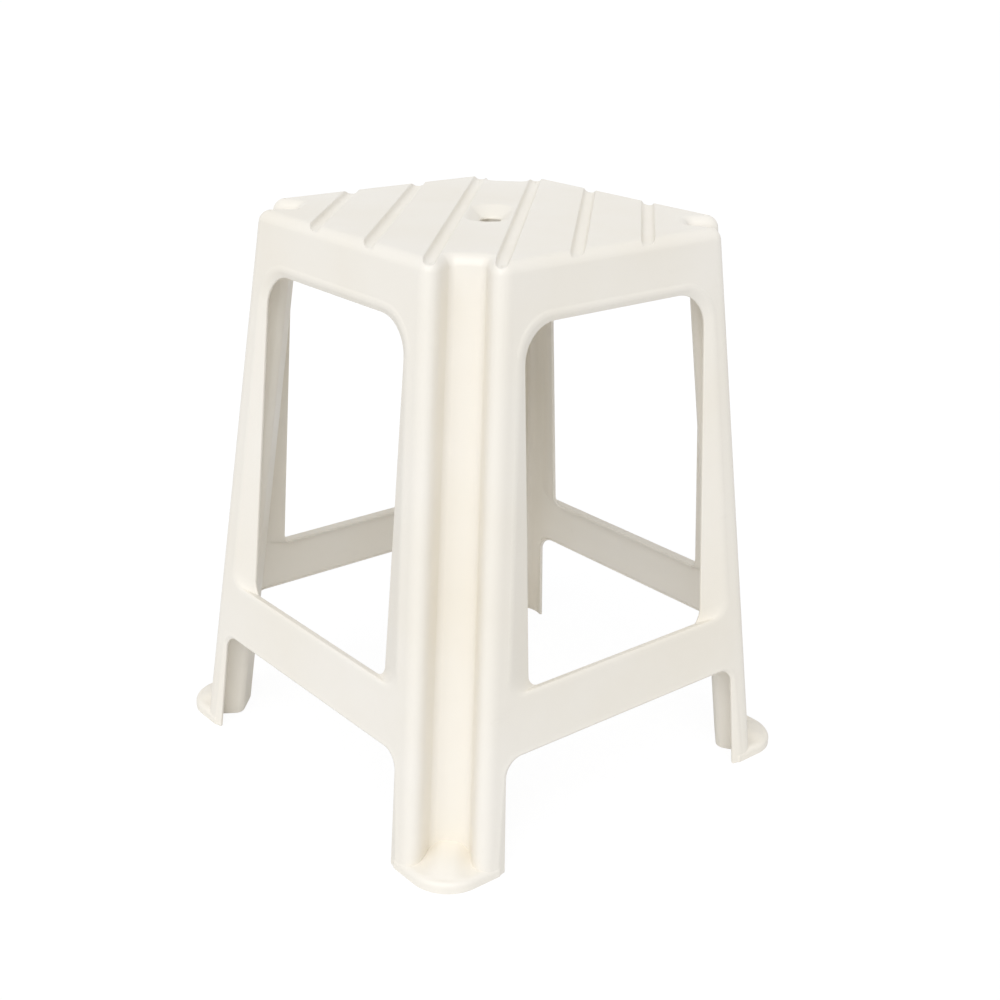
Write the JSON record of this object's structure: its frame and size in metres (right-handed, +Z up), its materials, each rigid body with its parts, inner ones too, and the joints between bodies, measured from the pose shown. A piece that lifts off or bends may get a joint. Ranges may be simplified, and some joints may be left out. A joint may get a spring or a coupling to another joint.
{
  "type": "stacking stool",
  "caption": "Moulded plastic stacking stool with a slatted square seat, a hand hole, fluted splayed corner legs, open sides with low stretchers, and toe-shaped feet.",
  "frame": {"origin": "middle of the stool at floor level, straight under the hand hole", "axes": "+Z up; the four side walls face +X, -X, +Y and -Y; the front leg stands at +X -Y and the seat's grooves run from it to the back leg"},
  "size_m": [0.378, 0.378, 0.45],
  "materials": {
    "ivory_plastic": "satin, moulded polypropylene"
  },
  "bodies": {
    "root": {"upper_leg_front": "ivory_plastic", "lower_leg_front": "ivory_plastic", "upper_leg_right": "ivory_plastic", "lower_leg_right": "ivory_plastic", "upper_leg_back": "ivory_plastic", "lower_leg_back": "ivory_plastic", "upper_leg_left": "ivory_plastic", "lower_leg_left": "ivory_plastic", "foot_front": "ivory_plastic", "foot_right": "ivory_plastic", "foot_back": "ivory_plastic", "foot_left": "ivory_plastic", "apron_front_left": "ivory_plastic", "apron_front_right": "ivory_plastic", "apron_back_right": "ivory_plastic", "apron_back_left": "ivory_plastic", "stretcher_front_left": "ivory_plastic", "stretcher_front_right": "ivory_plastic", "stretcher_back_right": "ivory_plastic", "stretcher_back_left": "ivory_plastic", "seat_edge_front_left": "ivory_plastic", "seat_edge_front_right": "ivory_plastic", "seat_edge_back_right": "ivory_plastic", "seat_edge_back_left": "ivory_plastic", "seat_corner_front": "ivory_plastic", "seat_corner_right": "ivory_plastic", "seat_corner_back": "ivory_plastic", "seat_corner_left": "ivory_plastic", "seat_slat_1": "ivory_plastic", "seat_slat_2": "ivory_plastic", "seat_slat_3": "ivory_plastic", "seat_slat_4": "ivory_plastic", "seat_slat_5": "ivory_plastic", "seat_slat_6": "ivory_plastic", "seat_slat_7": "ivory_plastic", "groove_floor_1": "ivory_plastic", "groove_floor_2": "ivory_plastic", "groove_floor_3": "ivory_plastic", "groove_floor_4": "ivory_plastic", "groove_floor_5": "ivory_plastic", "groove_floor_6": "ivory_plastic", "hand_hole_funnel": "ivory_plastic", "under_rib_front": "ivory_plastic", "under_rib_back": "ivory_plastic"}
  },
  "joints": []
}
